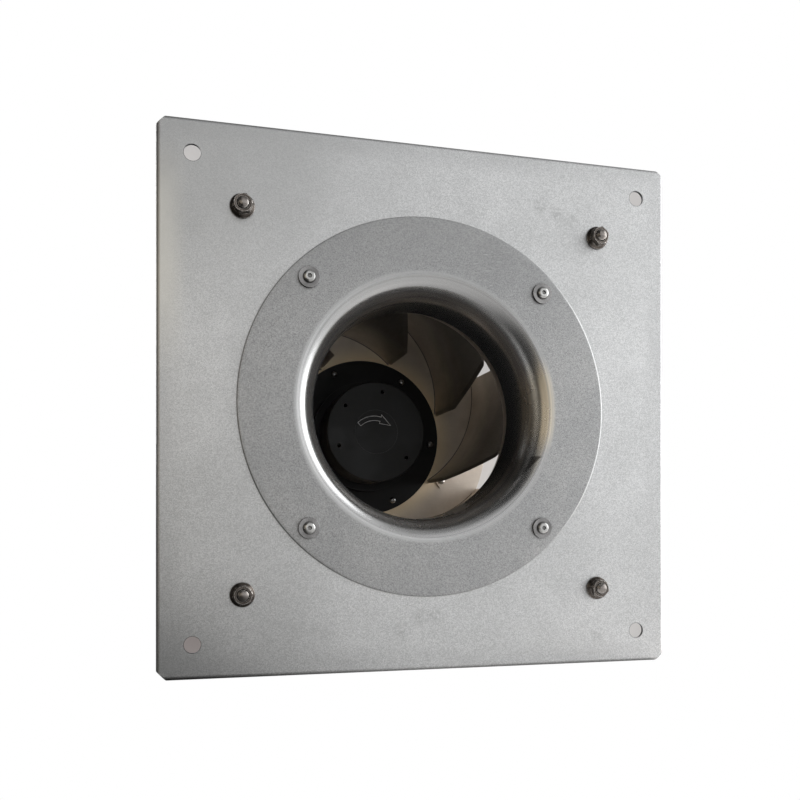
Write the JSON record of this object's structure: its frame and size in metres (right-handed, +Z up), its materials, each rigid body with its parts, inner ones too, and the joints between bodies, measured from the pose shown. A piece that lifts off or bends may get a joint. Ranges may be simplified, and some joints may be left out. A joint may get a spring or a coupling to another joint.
{
  "type": "plug fan",
  "caption": "Plug fan: backward-curved impeller on an external-rotor motor, hung on bent struts behind a square plate with a spun inlet ring.",
  "frame": {"origin": "centre of the four corner holes, on the fan's axis, at the plate's front face", "axes": "+Z up, +Y along the fan's axis from the inlet to the motor, +X to the right seen from the inlet"},
  "size_m": [0.4, 0.316, 0.4],
  "materials": {
    "galvanised_plate": "galvanised sheet with a fine cloudy grain",
    "inlet_ring_zinc": "galvanised spun sheet, burnished on its curve",
    "bright_screws": "bright stainless steel",
    "bolt_steel": "steel with a dark yellow-brown plating",
    "black_coat": "black powder coat",
    "rotor_black": "black satin paint",
    "impeller_sheet": "mill-finish sheet",
    "cast_housing": "plain die casting",
    "gland_plastic": "black polyamide",
    "rubber": "matt black rubber",
    "board": "green solder mask",
    "stator_sheet": "stack of electrical sheet",
    "copper": "enamelled copper wire",
    "magnet": "sintered ferrite",
    "bearing_steel": "ground bearing steel"
  },
  "bodies": {
    "frame": {"mounting_plate": "galvanised_plate", "inlet_ring": "inlet_ring_zinc", "inlet_ring_screws": "bright_screws", "inlet_ring_washers": "bright_screws", "inlet_ring_rivet_nuts": "bolt_steel", "strut_lower_right": "black_coat", "strut_lower_left": "black_coat", "strut_upper_left": "black_coat", "strut_upper_right": "black_coat", "front_flange_nuts": "bolt_steel", "rear_flange_nuts": "bolt_steel", "motor_bracket": "black_coat", "bracket_screws": "bolt_steel", "electronics_housing": "cast_housing", "cover_gasket": "rubber", "electronics_cover": "cast_housing", "cover_screws": "bright_screws", "circuit_board": "board", "board_screws": "bright_screws", "cable_gland": "gland_plastic", "gland_nut": "gland_plastic", "gland_seal": "rubber", "bearing_tube": "cast_housing", "stator_core": "stator_sheet", "stator_windings": "copper", "preload_spring": "bearing_steel", "front_bearing_outer_ring": "bearing_steel", "rear_bearing_outer_ring": "bearing_steel"},
    "rotor": {"rotor_cup": "rotor_black", "rotor_magnets": "magnet", "rotor_shaft": "bearing_steel", "shaft_circlip": "bearing_steel", "hub_ring": "rotor_black", "hub_rivets": "bright_screws", "impeller_backplate": "impeller_sheet", "impeller_shroud": "impeller_sheet", "blade_rivets": "bright_screws", "front_bearing_inner_ring": "bearing_steel", "rear_bearing_inner_ring": "bearing_steel", "blade_1": "impeller_sheet", "blade_2": "impeller_sheet", "blade_3": "impeller_sheet", "blade_4": "impeller_sheet", "blade_5": "impeller_sheet", "blade_6": "impeller_sheet", "blade_7": "impeller_sheet"},
    "front_ball_set": {"front_bearing_balls": "bearing_steel", "front_bearing_cage": "bearing_steel"},
    "rear_ball_set": {"rear_bearing_balls": "bearing_steel", "rear_bearing_cage": "bearing_steel"}
  },
  "joints": [
    {"name": "rotor_spin", "type": "hinge", "parent": "frame", "child": "rotor", "pos_m": [0, 0.2, 0], "axis": [0, 1, 0], "continuous": true},
    {"name": "front_cage_spin", "type": "hinge", "parent": "frame", "child": "front_ball_set", "pos_m": [0, 0.196, 0], "axis": [0, 1, 0], "continuous": true},
    {"name": "rear_cage_spin", "type": "hinge", "parent": "frame", "child": "rear_ball_set", "pos_m": [0, 0.254, 0], "axis": [0, 1, 0], "continuous": true}
  ],
  "couplings": [
    {"joint": "front_cage_spin", "follows": "rotor_spin", "ratio": 0.381},
    {"joint": "rear_cage_spin", "follows": "rotor_spin", "ratio": 0.381}
  ]
}
